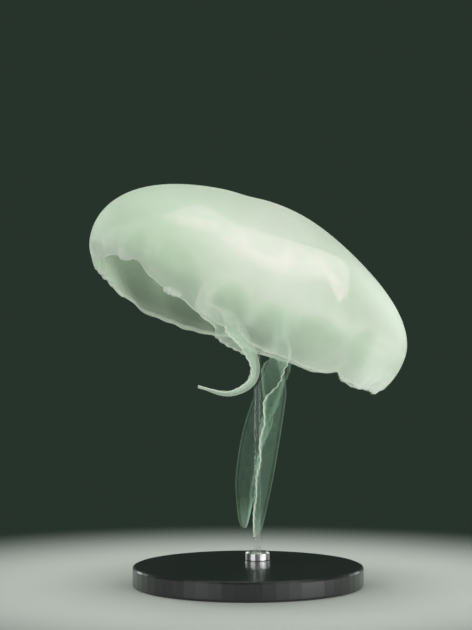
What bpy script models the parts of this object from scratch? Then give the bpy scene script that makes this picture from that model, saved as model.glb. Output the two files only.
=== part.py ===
"""Moon jellyfish (Aurelia), a grown animal in mid-stroke, as a life-size display model on a stand.

Metres, +Z up. The origin is the middle of the stand's underside, and -Y is the side that faces a viewer.

The bell is drawn flat first, the way a tailor lays out a pattern: a disc of jelly in which the distance
from the middle is the share of the way from apex to margin, and the height is the depth in the wall.
bell_point() then wraps that flat pattern over the living shape. The dome, the eight marginal lobes, the
gonads and the sense organs all go through the same function, so they meet with even gaps whatever the
pose is. The four oral arms are flat strips that arm_point() folds along a keel and lays on a path.
"""

import math

import bmesh
import bpy
import numpy as np
from mathutils import Matrix, Vector

# ---------------------------------------------------------------- driving dimensions of the bell
BELL_RADIUS = 0.1020  # at the waist, the widest level
APEX_LEVEL = 0.0573  # heights are above the bell's own centre
WAIST_LEVEL = 0.0010
WAIST_LEAN = 0.0050  # the waist sits lower on the leading side, +X of the bell
MARGIN_LEVEL = -0.0300
MARGIN_LEAN = 0.0033  # and the margin is lower on the far side, +Y
EVEN_SHARE = 0.45  # this share of the lean is missing on the leading side
FULLNESS = -0.050  # how far the flank swells beyond a plain ellipse
FULLNESS_LEAN = 0.165  # the trailing flank is rounder than the leading one
SHOULDER = 0.038  # a slight flattening between the crown and the flank
SHOULDER_LEAN = 0.028
CURL_IN = 0.0108  # how far the margin closes in during the stroke
CURL_LEAN = 0.0018
CURL_REACH = 0.026
CURL_POWER = 2.3
WAIST_SHARE = 0.78  # of the way from apex to margin
APEX_THICKNESS = 0.0200
MARGIN_THICKNESS = 0.0012
FLANK_JELLY = 0.0100  # the flank bulges into the hollow by this much
FLANK_JELLY_LEAN = 0.0070  # more on the leading side, less on the trailing one
ROOF_RISE = 0.0080  # on the leading side the roof of the hollow is higher

# One stretch of the margin, towards the viewer on the trailing side, is drawn up and opens the bell.
DRAWN_UP = 0.022
DRAWN_UP_AT = math.radians(208)
DRAWN_UP_HALF_WIDTH = math.radians(75)
SQUEEZE = math.radians(6)  # the near side is drawn together, so its lobes are narrower
GATHER = math.radians(12)  # and one notch on the far side is pulled round, which gathers the lobe beside it
GATHER_AT = math.radians(135)
GATHER_HALF_WIDTH = math.radians(25)
GATHERED_LIFT = 0.0065  # that lobe is also drawn up by this much
ROLLED_IN = 0.0055  # and the margin beside it rolls inwards by this much
ROLLED_IN_AT = math.radians(194)
ROLLED_HALF_WIDTH = math.radians(14)

LOBES = 8
LOBE_ANGLE = 2 * math.pi / LOBES
NOTCH_DEPTH = 0.0045
NOTCH_HALF_WIDTH = math.radians(4.0)
NOTCH_OPENING = math.radians(1.3)  # half the room for a sense organ between two lobes
LOBE_ROOT_SHARE = 0.842
GAP = 0.0003  # between pieces that touch

BELL_CENTRE = Vector((0.0, 0.0, 0.176))
BELL_TILT = math.radians(20)  # the apex leans towards +X

# ---------------------------------------------------------------- organs under the bell
GONAD_COUNT = 4
GONAD_DISTANCE = 0.235  # from the axis, on the flat pattern
GONAD_BEND_RADIUS = 0.098
GONAD_ARC = math.radians(255)  # the horseshoe is open towards the mouth
GONAD_TUBE_RADIUS = 0.0026

MANUBRIUM_TOP = 0.0358
MANUBRIUM_MOUTH = 0.0150
MANUBRIUM_RADIUS = 0.0090
MANUBRIUM_CORNER = 0.22  # how far its four corners stand out, as a share of the radius

SENSE_ORGAN_RADIUS = 0.0010

# ---------------------------------------------------------------- oral arms
ARM_LENGTHS = ("upper", "middle", "tip")
ARM_CELLS_ACROSS = 6
ARM_CELLS_ALONG = 8
KEEL_THICKNESS = 0.0030
LIP_THICKNESS = 0.0009

# ---------------------------------------------------------------- stand
BASE_RADIUS = 0.070
BASE_THICKNESS = 0.012
BASE_BEVEL = 0.0015
ROD_RADIUS = 0.0025
ROD_X = 0.0060
ROD_Y = 0.0240
ROD_SOCKET = 0.0060
ROD_TOP = 0.2190
COLLAR_RADIUS = 0.0075
COLLAR_HEIGHT = 0.0050

PALE_JELLY = (0.66, 0.78, 0.67)
ARM_JELLY = (0.50, 0.66, 0.54)
MILK_WHITE = (0.85, 0.87, 0.80)
BLACK_LACQUER = (0.012, 0.013, 0.014)
CLEAR_ACRYLIC = (0.80, 0.84, 0.84)
SATIN_STEEL = (0.60, 0.61, 0.62)


# ================================================================ scene helpers
def start_collection(name):
    """An empty scene, and a collection to build in."""
    for old in list(bpy.data.objects):
        bpy.data.objects.remove(old)
    made = bpy.data.collections.new(name)
    bpy.context.scene.collection.children.link(made)
    return made


def material(name, colour, roughness, metallic=0.0):
    made = bpy.data.materials.new(name)
    made.use_nodes = True
    shader = made.node_tree.nodes["Principled BSDF"]
    shader.inputs["Base Color"].default_value = (*colour, 1.0)
    shader.inputs["Roughness"].default_value = roughness
    shader.inputs["Metallic"].default_value = metallic
    return made


def add_object(name, data, collection, look=None, parent=None):
    made = bpy.data.objects.new(name, data)
    collection.objects.link(made)
    if look:
        data.materials.clear()
        data.materials.append(look)
    made.parent = parent
    return made


def frozen_mesh(source, name):
    """The mesh that source shows with its modifiers, as a mesh of its own. Source is removed."""
    bpy.context.view_layer.update()
    shown = source.evaluated_get(bpy.context.evaluated_depsgraph_get())
    made = bpy.data.meshes.new_from_object(shown)
    made.name = name
    bpy.data.objects.remove(source)
    return made


def turned_mesh(name, profile, steps):
    """A closed solid turned about Z from a profile of (radius, height) that runs from top to bottom."""
    line = bpy.data.meshes.new(name + "_profile")
    edges = [(i, i + 1) for i in range(len(profile) - 1)]
    line.from_pydata([(radius, 0.0, height) for radius, height in profile], edges, [])
    source = bpy.data.objects.new(name + "_profile", line)
    bpy.context.scene.collection.objects.link(source)
    turn = source.modifiers.new("turn", "SCREW")
    turn.angle = 2 * math.pi
    turn.steps = turn.render_steps = steps
    turn.use_merge_vertices = True
    turn.merge_threshold = 0.00005
    return frozen_mesh(source, name)


def strip_mesh(name, cells_x, cells_y):
    """A flat slab, 1 by 1 and 1 thick, with its cells along X and Y: the blank of a lobe or an arm."""
    bpy.ops.mesh.primitive_grid_add(x_subdivisions=cells_x, y_subdivisions=cells_y, size=1)
    source = bpy.context.object
    source.location = (0.5, 0.5, 0.0)
    bpy.ops.object.transform_apply(location=True)
    wall = source.modifiers.new("wall", "SOLIDIFY")
    wall.thickness = 1.0
    wall.offset = 1.0
    return frozen_mesh(source, name)


def wrap(mesh, function):
    """Moves every vertex of a blank to where function puts its flat coordinates."""
    for vertex in mesh.vertices:
        vertex.co = function(*vertex.co)
    mesh.update()
    return mesh


def smooth(mesh, sharp_degrees=50):
    mesh.shade_smooth()
    mesh.set_sharp_from_angle(angle=math.radians(sharp_degrees))


def smooth_step(share):
    share = min(1.0, max(0.0, share))
    return share * share * (3 - 2 * share)


# ================================================================ the living shape of the bell
def angle_between(a, b):
    """The turn from b to a, from -pi to pi."""
    return (a - b + math.pi) % (2 * math.pi) - math.pi


def waist_level(angle):
    return WAIST_LEVEL - WAIST_LEAN * math.cos(angle)


def margin_level(angle):
    even = EVEN_SHARE * smooth_step(math.cos(angle) / 0.5)
    return MARGIN_LEVEL - MARGIN_LEAN * math.sin(angle) * (1 - even) + drawn_up(angle)


def notch(angle):
    """How far the margin is cut back at this angle: a narrow bay between every two lobes."""
    off = (angle + LOBE_ANGLE / 2) % LOBE_ANGLE - LOBE_ANGLE / 2
    return NOTCH_DEPTH * math.exp(-((off / NOTCH_HALF_WIDTH) ** 2))


def drawn_up(angle):
    """How far the margin is lifted: a raised cosine about the middle of the opened stretch, and a quick rise
    and slow fall over the gathered lobe."""
    off = angle_between(angle, DRAWN_UP_AT) / DRAWN_UP_HALF_WIDTH
    lift = DRAWN_UP * 0.5 * (1 + math.cos(math.pi * off)) if abs(off) < 1 else 0.0
    past = math.degrees(angle_between(angle, GATHER_AT))
    return lift + GATHERED_LIFT * smooth_step((past + 1) / 10) * (1 - smooth_step((past - 15) / 40))


def profile(angle, share):
    """(radius, height) on the outer surface, share being 0 at the apex and 1 at the margin.

    Down to the waist it is an ellipse whose flank swells or flattens with sin squared and whose shoulder is
    eased by sin squared times cos to the fourth. Below the waist the skirt closes in by a power of the drop.
    """
    side = math.cos(angle)
    waist = waist_level(angle)
    if share <= WAIST_SHARE:
        swing = 0.5 * math.pi * share / WAIST_SHARE
        swell = 1 + (FULLNESS - FULLNESS_LEAN * side) * math.sin(swing) ** 2
        swell -= 4 * (SHOULDER + SHOULDER_LEAN * side) * math.sin(swing) ** 2 * math.cos(swing) ** 4
        return BELL_RADIUS * math.sin(swing), waist + (APEX_LEVEL - waist) * math.cos(swing) * swell
    down = (share - WAIST_SHARE) / (1 - WAIST_SHARE)
    drop = (waist - margin_level(angle)) * down
    near_edge = max(0.0, (share - LOBE_ROOT_SHARE) / (1 - LOBE_ROOT_SHARE))
    drop -= notch(angle) * near_edge**2
    curl = (CURL_IN - CURL_LEAN * side) * (drop / CURL_REACH) ** CURL_POWER
    off = angle_between(angle, ROLLED_IN_AT) / ROLLED_HALF_WIDTH
    curl += ROLLED_IN * math.exp(-(off**2)) * near_edge**2
    return BELL_RADIUS - curl, waist - drop


def wall_thickness(angle, share):
    """Thick clear jelly at the apex, and a film at the margin. Two bell curves of the share change that:
    there is more on the flank, and less over the leading side of the hollow."""
    even = MARGIN_THICKNESS + (APEX_THICKNESS - MARGIN_THICKNESS) * (1 - min(share, 1.0) ** 2.2) ** 1.2
    flank = (FLANK_JELLY + FLANK_JELLY_LEAN * math.cos(angle)) * math.exp(-(((share - 0.55) / 0.20) ** 2))
    roof = ROOF_RISE * math.exp(-(((share - 0.23) / 0.13) ** 2)) * max(math.cos(angle), 0.0) ** 1.5
    return even + flank - roof


def bell_point(angle, share, depth):
    """A point of the wall, in the bell's own frame: depth is 1 on the outside and 0 on the inside."""
    step = 0.004
    radius, height = profile(angle, share)
    radius_in, height_in = profile(angle, max(share - step, 0.0))
    radius_out, height_out = profile(angle, share + step)
    along = Vector((radius_out - radius_in, height_out - height_in)).normalized()
    inset = (1 - depth) * wall_thickness(angle, share)
    radius += along.y * inset
    height -= along.x * inset
    turned = angle - SQUEEZE * math.cos(angle)
    turned += GATHER * math.exp(-((angle_between(angle, GATHER_AT) / GATHER_HALF_WIDTH) ** 2))
    return Vector((radius * math.cos(turned), radius * math.sin(turned), height))


def from_flat(x, y, depth):
    """bell_point for a point of the flat pattern, in which the apex is at the origin."""
    return bell_point(math.atan2(y, x), math.hypot(x, y), depth)


# ================================================================ the bell's pieces
def bell_dome(collection, look, pose):
    """The umbrella down to the roots of the lobes: thick jelly, hollow underneath."""
    rim = LOBE_ROOT_SHARE - 0.002
    rings = 14
    shares = [rim * i / rings for i in range(rings + 1)]
    outline = [(share, 1.0) for share in shares] + [(share, 0.0) for share in reversed(shares)]
    mesh = wrap(turned_mesh("bell_dome", outline, 44), from_flat)
    smooth(mesh)
    return add_object("bell_dome", mesh, collection, look, pose)


def marginal_lobe(number, collection, look, pose):
    """One of the eight lobes of the margin. Its sides stand back from the notches near the edge."""
    start = number * LOBE_ANGLE

    def place(down, across, depth):
        share = LOBE_ROOT_SHARE + down * (1 - LOBE_ROOT_SHARE)
        inset = GAP / BELL_RADIUS + NOTCH_OPENING * smooth_step((down - 0.35) / 0.5)
        angle = start + inset + across * (LOBE_ANGLE - 2 * inset)
        return bell_point(angle, share, depth)

    name = f"bell_lobe_{number + 1}"
    mesh = wrap(strip_mesh(name, 4, 8), place)
    smooth(mesh)
    return add_object(name, mesh, collection, look, pose)


def sense_organ(number, collection, look, pose):
    """A rhopalium: the small club in a notch, with which the animal feels gravity and light."""
    name = f"rhopalium_{number + 1}"
    mesh = bpy.data.meshes.new(name)
    shape = bmesh.new()
    bmesh.ops.create_uvsphere(shape, u_segments=8, v_segments=5, radius=SENSE_ORGAN_RADIUS)
    shape.to_mesh(mesh)
    shape.free()
    smooth(mesh)
    made = add_object(name, mesh, collection, look, pose)
    made.location = bell_point(number * LOBE_ANGLE, 0.985, 0.5)
    return made


def gonad(number, collection, look, pose):
    """A horseshoe of reproductive tissue under the roof of the bell, open towards the mouth."""
    middle = number * 2 * math.pi / GONAD_COUNT
    steps = 18
    points = []
    for i in range(steps + 1):
        turn = middle + GONAD_ARC * (i / steps - 0.5)
        x = GONAD_DISTANCE * math.cos(middle) + GONAD_BEND_RADIUS * math.cos(turn)
        y = GONAD_DISTANCE * math.sin(middle) + GONAD_BEND_RADIUS * math.sin(turn)
        below = -(GONAD_TUBE_RADIUS + 2 * GAP) / wall_thickness(math.atan2(y, x), math.hypot(x, y))
        points.append(from_flat(x, y, below))
    name = f"gonad_{number + 1}"
    curve = bpy.data.curves.new(name, "CURVE")
    curve.dimensions = "3D"
    curve.bevel_depth = GONAD_TUBE_RADIUS
    curve.bevel_resolution = 1
    curve.use_fill_caps = True
    spline = curve.splines.new("POLY")
    spline.points.add(len(points) - 1)
    for point, place in zip(spline.points, points):
        point.co = (*place, 1.0)
        end = min(len(points) - 1 - points.index(place), points.index(place))
        point.radius = 0.55 + 0.45 * smooth_step(end / 3)
    return add_object(name, curve, collection, look, pose)


def manubrium(collection, look, pose):
    """The short square throat with the mouth at its foot, from whose four corners the arms grow."""
    flare = 0.0015
    outline = [(0.0, MANUBRIUM_TOP - 2 * GAP)]
    rows = 4
    for i in range(rows + 1):
        share = i / rows
        height = MANUBRIUM_TOP - 2 * GAP + share * (MANUBRIUM_MOUTH - MANUBRIUM_TOP)
        waist = math.sin(math.pi * share)
        outline.append((MANUBRIUM_RADIUS + flare * (1 - share) - 0.0012 * waist, height))
    outline += [(MANUBRIUM_RADIUS * 0.5, MANUBRIUM_MOUTH + 0.002), (0.0, MANUBRIUM_MOUTH + 0.004)]

    def square_up(x, y, z):
        corner = 1 + MANUBRIUM_CORNER * 0.5 * (1 - math.cos(4 * math.atan2(y, x)))
        return Vector((x * corner, y * corner, z))

    mesh = wrap(turned_mesh("manubrium", outline, 20), square_up)
    smooth(mesh)
    return add_object("manubrium", mesh, collection, look, pose)


# ================================================================ oral arms
class Arm:
    """One oral arm: its path in the bell's surroundings, its width and the way its keel faces.

    path holds points in millimetres from the bell's centre, in the room's axes. width is that of one wing at
    its widest, root its share of that at the mouth, and growth where along the arm it is reached. facing is
    the angle of the keel about the path, 0 being to the right as seen from the front, and twist is what it
    turns by between the two shares in twists. taper is the power that slims the arm towards its tip, and
    blunt holds that back until the end.
    """

    def __init__(self, name, path, width, root, facing, twist, opening, taper, **more):
        self.name = name
        self.width = width
        self.root = root
        self.facing = math.radians(facing)
        self.twist = math.radians(twist)
        self.opening = math.radians(opening)
        self.taper = taper
        self.twists = more.get("twists", (0.0, 0.55))
        self.growth = more.get("growth", 0.35)
        self.blunt = more.get("blunt", 1)
        self.points = smooth_path(np.array(path) / 1000)
        steps = np.linalg.norm(np.diff(self.points, axis=0), axis=1)
        self.travelled = np.concatenate([[0.0], np.cumsum(steps)])
        self.length = self.travelled[-1]

    def spine(self, share):
        """The point of the path this share of the way along it."""
        at = share * self.length
        return Vector([np.interp(at, self.travelled, self.points[:, axis]) for axis in range(3)])

    def heading(self, share):
        step = 0.02
        ahead, behind = self.spine(min(share + step, 1.0)), self.spine(max(share - step, 0.0))
        return (ahead - behind).normalized()

    def wing(self, share):
        """Width of one wing: it grows out of the mouth's corner, stays broad and ends in a blunt tip."""
        root = self.root + (1 - self.root) * smooth_step(share / self.growth)
        tip = max(1 - share**self.blunt, 0.0) ** self.taper
        return self.width * max(root * tip, 0.10)

    def turn(self, share):
        start, stop = self.twists
        return self.facing + self.twist * smooth_step((share - start) / (stop - start))


def smooth_path(points, per_span=12):
    """A Catmull-Rom curve through the points, as an array."""
    padded = np.vstack([2 * points[0] - points[1], points, 2 * points[-1] - points[-2]])
    spans = []
    for i in range(1, len(padded) - 2):
        a, b, c, d = padded[i - 1 : i + 3]
        t = np.linspace(0, 1, per_span, endpoint=False)[:, None]
        spans.append(
            0.5 * (2 * b + (c - a) * t + (2 * a - 5 * b + 4 * c - d) * t**2 + (3 * b - a - 3 * c + d) * t**3)
        )
    return np.vstack([*spans, points[-1:]])


def arm_point(arm, across, share, layer):
    """A point of the arm: across runs from one lip (-1) over the keel (0) to the other lip (1).

    In the plane across the path the arm is a V with a rounded keel. layer is -0.5 to 0.5 through it.
    """
    forward = arm.heading(share)
    away = Vector((0, 1, 0))
    away = (away - away.dot(forward) * forward).normalized()
    right = forward.cross(away) * -1
    turn = arm.turn(share)
    keel = math.cos(turn) * right + math.sin(turn) * away
    side = forward.cross(keel)
    rounding = 0.2
    depth = math.hypot(across, rounding) - rounding
    slope = across / math.hypot(across, rounding)
    wing, half = arm.wing(share), arm.opening / 2
    lean_in, lean_out = math.cos(half), math.sin(half)
    frill = 0.10 * wing * across**2 * math.sin(share * arm.length / 0.0036 + 2.0 * across)
    normal = (keel * lean_out + side * lean_in * slope).normalized()
    if abs(slope) < 1e-6:
        normal = keel.copy()
    thickness = LIP_THICKNESS + (KEEL_THICKNESS - LIP_THICKNESS) * math.exp(-((across / 0.3) ** 2))
    thickness *= 0.45 + 0.55 * min(1.0, wing / (0.35 * arm.width))
    middle = keel * wing * lean_in * (0.5 - depth) + side * wing * lean_out * across
    return BELL_CENTRE + arm.spine(share) + middle + normal * (frill + layer * thickness)


def oral_arm(arm, collection, look):
    """The arm as a chain of named lengths that meet end to end."""
    made = []
    for number, part in enumerate(ARM_LENGTHS):
        ease = GAP / arm.length
        start = number / len(ARM_LENGTHS) + ease
        end = (number + 1) / len(ARM_LENGTHS) - ease

        def place(x, y, z, start=start, end=end):
            return arm_point(arm, 2 * x - 1, start + y * (end - start), z - 0.5)

        name = f"oral_arm_{arm.name}_{part}"
        mesh = wrap(strip_mesh(name, ARM_CELLS_ACROSS, ARM_CELLS_ALONG), place)
        smooth(mesh)
        made.append(add_object(name, mesh, collection, look))
    return made


def all_arms():
    """The four arms. One is curled to the left, two hang, and one is drawn up behind under the bell."""
    curled = [(-3, -9, 13), (-14, -15, 9), (-24, -19, 2), (-24, -19, -8), (-12, -17, -14), (-3, -15, -27)]
    curled += [(3, -13, -41), (2, -12, -51), (-5, -12, -57), (-15, -12, -59), (-30, -12, -55)]
    hanging = [(11, -9, 9), (15, -14, 0), (18, -18, -16), (18, -19, -37), (15, -18, -58), (12, -18, -82)]
    hanging += [(9, -17, -106), (6, -16, -128), (4, -16, -145)]
    trailing = [(13, 9, 9), (18, 11, -3), (22, 10, -26), (20, 8, -44), (13, 6, -64), (5, 5, -88)]
    trailing += [(0, 5, -112), (-1, 5, -128), (-2, 5, -142)]
    drawn = [(-3, 9, 13), (-9, 16, 10), (-14, 24, 4), (-15, 33, -6), (-10, 41, -13), (-1, 45, -16)]
    drawn += [(8, 44, -12), (12, 40, -5)]
    return [
        Arm("curled", curled, 0.0150, 0.33, 100, 80, 80, 0.75, twists=(0.38, 0.62), growth=0.55),
        Arm("hanging", hanging, 0.0180, 0.1, 40, 140, 60, 0.42, twists=(0.22, 0.50), growth=0.5, blunt=2),
        Arm("trailing", trailing, 0.0235, 0.2, 40, -40, 60, 0.42, growth=0.6, blunt=2),
        Arm("drawn_up", drawn, 0.0080, 0.6, 90, 0, 80, 0.60),
    ]


# ================================================================ the stand
def cylinder(name, radius, height, base, collection, look=None, sides=32):
    """A cylinder whose foot is at base."""
    mesh = bpy.data.meshes.new(name)
    shape = bmesh.new()
    bmesh.ops.create_cone(
        shape, cap_ends=True, segments=sides, radius1=radius, radius2=radius, depth=height
    )
    bmesh.ops.translate(shape, verts=shape.verts, vec=(0, 0, height / 2))
    shape.to_mesh(mesh)
    shape.free()
    made = add_object(name, mesh, collection, look)
    made.location = base
    return made


def cut(target, cutter):
    cutter.hide_render = True
    cutter.display_type = "WIRE"
    bite = target.modifiers.new(cutter.name, "BOOLEAN")
    bite.operation = "DIFFERENCE"
    bite.object = cutter


def stand(parts, cutters, looks, dome):
    """A round base, a clear rod in a socket in it and another in the roof of the bell, and a collar."""
    foot = Vector((ROD_X, ROD_Y, BASE_THICKNESS - ROD_SOCKET))
    base = cylinder("stand_base", BASE_RADIUS, BASE_THICKNESS, (0, 0, 0), parts, looks["lacquer"], 56)
    rounding = base.modifiers.new("rounded rims", "BEVEL")
    rounding.width = BASE_BEVEL
    rounding.segments = 2
    rounding.limit_method = "ANGLE"
    socket_radius = ROD_RADIUS + GAP
    cut(base, cylinder("base_socket", socket_radius, 0.02, foot, cutters, sides=24))
    rod_foot = foot + Vector((0, 0, GAP))
    rod = cylinder(
        "stand_rod", ROD_RADIUS, ROD_TOP - rod_foot.z, rod_foot, parts, looks["acrylic"], 24
    )
    rod.data.shade_smooth()
    rod.data.set_sharp_from_angle(angle=math.radians(50))
    cut(dome, cylinder("dome_socket", socket_radius, 0.10, (ROD_X, ROD_Y, ROD_TOP + GAP - 0.10), cutters, sides=24))
    low, high = BASE_THICKNESS + GAP, BASE_THICKNESS + GAP + COLLAR_HEIGHT
    chamfer = 0.001
    ring = [
        (socket_radius, high), (COLLAR_RADIUS - chamfer, high), (COLLAR_RADIUS, high - chamfer),
        (COLLAR_RADIUS, low), (socket_radius, low), (socket_radius, high),
    ]
    mesh = turned_mesh("stand_collar", ring, 32)
    welded = bmesh.new()
    welded.from_mesh(mesh)
    bmesh.ops.remove_doubles(welded, verts=welded.verts, dist=0.00001)
    welded.to_mesh(mesh)
    welded.free()
    collar = add_object("stand_collar", mesh, parts, looks["steel"])
    collar.location = (ROD_X, ROD_Y, 0)


def main():
    parts = start_collection("moon_jellyfish")
    cutters = bpy.data.collections.new("cutters")
    bpy.context.scene.collection.children.link(cutters)
    looks = {
        "jelly": material("clear jelly", PALE_JELLY, 0.25),
        "arm": material("arm membrane", ARM_JELLY, 0.30),
        "milk": material("milky tissue", MILK_WHITE, 0.45),
        "lacquer": material("black lacquer", BLACK_LACQUER, 0.30),
        "acrylic": material("clear acrylic", CLEAR_ACRYLIC, 0.05),
        "steel": material("satin steel", SATIN_STEEL, 0.35, 1.0),
    }
    pose = add_object("swimming_pose", None, parts)
    pose.location = BELL_CENTRE
    pose.rotation_euler = (0, BELL_TILT, 0)
    dome = bell_dome(parts, looks["jelly"], pose)
    for number in range(LOBES):
        marginal_lobe(number, parts, looks["jelly"], pose)
        sense_organ(number, parts, looks["milk"], pose)
    for number in range(GONAD_COUNT):
        gonad(number, parts, looks["milk"], pose)
    manubrium(parts, looks["milk"], pose)
    for arm in all_arms():
        oral_arm(arm, parts, looks["arm"])
    stand(parts, cutters, looks, dome)
    bpy.context.view_layer.update()


main()
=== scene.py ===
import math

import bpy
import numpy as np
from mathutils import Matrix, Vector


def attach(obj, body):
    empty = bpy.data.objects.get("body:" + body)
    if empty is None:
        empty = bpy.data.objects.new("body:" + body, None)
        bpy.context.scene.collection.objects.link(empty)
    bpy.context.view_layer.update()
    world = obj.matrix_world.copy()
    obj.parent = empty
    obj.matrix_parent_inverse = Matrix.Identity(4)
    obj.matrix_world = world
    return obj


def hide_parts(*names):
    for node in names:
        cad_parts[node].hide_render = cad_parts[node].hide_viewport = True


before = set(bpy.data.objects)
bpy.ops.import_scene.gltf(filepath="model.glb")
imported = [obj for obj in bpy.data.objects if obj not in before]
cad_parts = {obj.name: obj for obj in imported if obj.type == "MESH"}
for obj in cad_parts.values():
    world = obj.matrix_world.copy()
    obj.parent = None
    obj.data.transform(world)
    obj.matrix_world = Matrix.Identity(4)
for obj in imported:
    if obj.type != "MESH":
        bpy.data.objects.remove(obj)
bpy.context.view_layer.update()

# %% [markdown]
# # A moon jellyfish on a display stand
# The solids that were loaded above settle the size and the pose: a bell of thick jelly with a lobed margin,
# four gonads, four oral arms, and a stand. They are plain and come in pieces. This lesson draws the living
# skin over them, piece by piece. Everything is in metres, +Z is up, and the viewer is on the side of -Y.

# %% [markdown]
# ## Skins from rings
# Every soft piece of this animal is a closed bag: the bell, an arm, a gonad, a tentacle. A bag is easy to
# make from a stack of closed rings of points. Neighbouring rings are joined by four-sided faces, and the
# first and the last ring are closed with a fan of triangles round their middle. Numbers that a material will
# want, such as how far along the arm a point lies, travel with the points as named attributes.


# %% One function for every closed skin
def ring_faces(rows, columns):
    """Corner numbers of the quads between rows of rings: each quad is (row, column), its right neighbour,
    and the same two on the next row, wrapping round at the last column."""
    row, column = np.meshgrid(np.arange(rows - 1), np.arange(columns), indexing="ij")
    right = (column + 1) % columns
    first = row * columns
    return np.stack(
        [first + column, first + right, first + columns + right, first + columns + column], -1
    ).reshape(-1, 4)


def skin(points, marks):
    """Turns rings of shape (rows, columns, 3) into (vertices, quads, triangles, marks), closed at both ends.

    A cap's middle is the mean of its ring. Marks have the same shape, and it takes their mean too."""
    rows, columns = points.shape[:2]
    around = np.arange(columns)
    after = (around + 1) % columns
    low, high = np.full(columns, rows * columns), np.full(columns, rows * columns + 1)
    last = (rows - 1) * columns
    fans = [np.stack([low, after, around], -1), np.stack([high, last + around, last + after], -1)]
    vertices, *carried = (
        np.concatenate([rings.reshape(-1, 3), rings[[0, -1]].mean(axis=1)])
        for rings in (points, *marks.values())
    )
    return vertices, ring_faces(rows, columns), np.concatenate(fans), dict(zip(marks, carried))


def placed(name, data):
    """A new object in the scene."""
    made = bpy.data.objects.new(name, data)
    bpy.context.scene.collection.objects.link(made)
    return made


def piece(name, skins, material, nodes=()):
    """One object from one or more closed skins. It rides on the animal and stands for the named solids."""
    points, quads, fans, marks = zip(*skins)
    vertices, starts = np.concatenate(points), np.cumsum([0, *map(len, points)])
    quads, fans = (
        np.concatenate([faces + start for faces, start in zip(each, starts)]) for each in (quads, fans)
    )
    if volume_of(vertices, quads, fans) < 0:
        quads, fans = quads[:, ::-1], fans[:, ::-1]
    mesh = bpy.data.meshes.new(name)
    mesh.from_pydata(vertices, [], quads.tolist() + fans.tolist())
    mesh.validate()
    mesh.shade_smooth()
    for mark in marks[0]:
        values = np.concatenate([each[mark] for each in marks]).astype(np.float32)
        layer = mesh.attributes.new(mark, "FLOAT_VECTOR", "POINT")
        layer.data.foreach_set("vector", values.ravel())
    mesh.materials.append(material)
    made = placed(name, mesh)
    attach(made, "root")
    if nodes:
        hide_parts(*nodes)
    print(name, len(vertices), "vertices,", 2 * len(quads) + len(fans), "triangles")


def volume_of(vertices, quads, fans):
    """Signed volume: a sixth of the sum of each triangle's scalar triple product. It is positive when the
    faces point outwards."""
    triangles = np.concatenate([quads[:, [0, 1, 2]], quads[:, [0, 2, 3]], fans])
    a, b, c = (vertices[triangles[:, i]] for i in range(3))
    return float(np.einsum("ij,ij->i", a, np.cross(b, c)).sum() / 6)


def unit(vectors):
    """Vectors divided by their own lengths."""
    return vectors / np.maximum(np.linalg.norm(vectors, axis=-1, keepdims=True), 1e-12)


def smooth_step(share):
    """0 below 0, 1 above 1, and 3 t squared minus 2 t cubed between."""
    share = np.clip(share, 0, 1)
    return share * share * (3 - 2 * share)


def angle_from(middle, angle, period=2 * np.pi):
    """Angle from a middle one, which may repeat with a period: between minus and plus half of that."""
    return (angle - middle + period / 2) % period - period / 2


def grid(along, columns):
    """A row of values and a whole turn of angles, both repeated to the shape (rows, columns)."""
    return np.meshgrid(along, np.linspace(0, 2 * np.pi, columns, endpoint=False), indexing="ij")


# %% [markdown]
# ## Shader sums as Python
# A Blender material is a tree of nodes joined by links, and even a small formula takes a dozen lines. The
# class below wraps one output socket: adding or multiplying two wrapped sockets adds the Math node that does
# it. Any other node comes from one method, `node`.


# %% A socket that can be added and multiplied
class Value:
    """One number that a shader works out for each point of a surface."""

    def __init__(self, tree, socket):
        self.tree, self.socket = tree, socket

    def maths(self, operation, *others):
        values = dict(enumerate((self, *others)))
        return self.tree.node("ShaderNodeMath", {"operation": operation}, values)

    def __add__(self, other):
        return self.maths("ADD", other)

    def __mul__(self, other):
        return self.maths("MULTIPLY", other)

    def __sub__(self, other):
        return self.maths("SUBTRACT", other)

    def __rsub__(self, other):
        return self * -1.0 + other

    __radd__, __rmul__ = __add__, __mul__

    def between(self, low, high):
        """0 at low, 1 at high and a smooth step between."""
        settings = {"interpolation_type": "SMOOTHSTEP"}
        values = {"Value": self, "From Min": low, "From Max": high}
        return self.tree.node("ShaderNodeMapRange", settings, values)


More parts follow.
